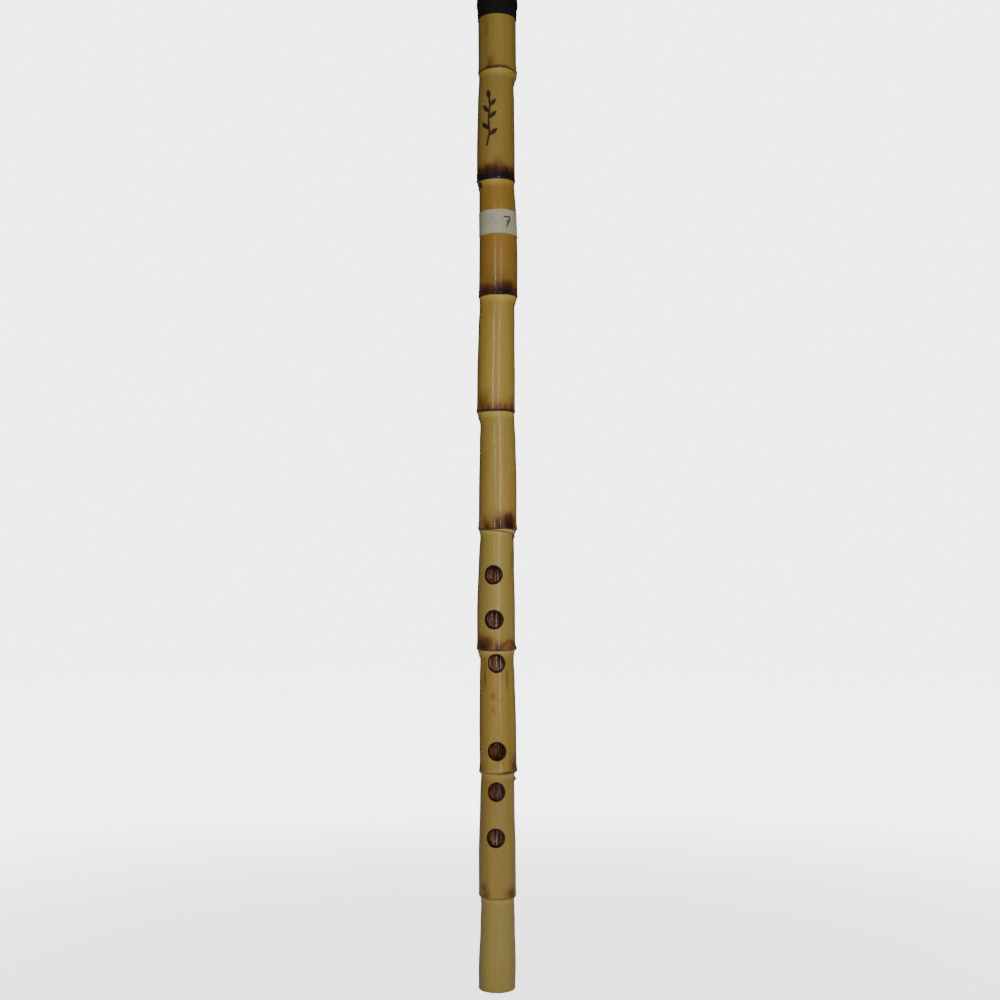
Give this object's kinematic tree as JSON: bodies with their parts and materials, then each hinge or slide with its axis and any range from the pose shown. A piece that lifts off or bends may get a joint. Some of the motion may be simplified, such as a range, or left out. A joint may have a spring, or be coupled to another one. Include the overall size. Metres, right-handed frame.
{
  "type": "ney flute",
  "caption": "End-blown cane flute with burnt finger holes, a thumb hole, a bevelled mouth edge, a black taped mouth end and a paper label.",
  "frame": {"origin": "centre of the bore at the foot end's face", "axes": "+Z along the bore from the foot to the mouth, -Y towards the six finger holes, +Y towards the thumb hole, +X to the right when the finger holes face the viewer and the mouth is up"},
  "size_m": [0.0272, 0.0272, 0.68],
  "materials": {
    "cane": "glossy varnished natural cane, burnt dark at the nodes and holes",
    "binding_tape": "matte black cloth tape",
    "label_paper": "matte off-white paper"
  },
  "bodies": {
    "root": {"cane_tube": "cane", "mouth_binding": "binding_tape", "paper_label": "label_paper"}
  },
  "joints": []
}
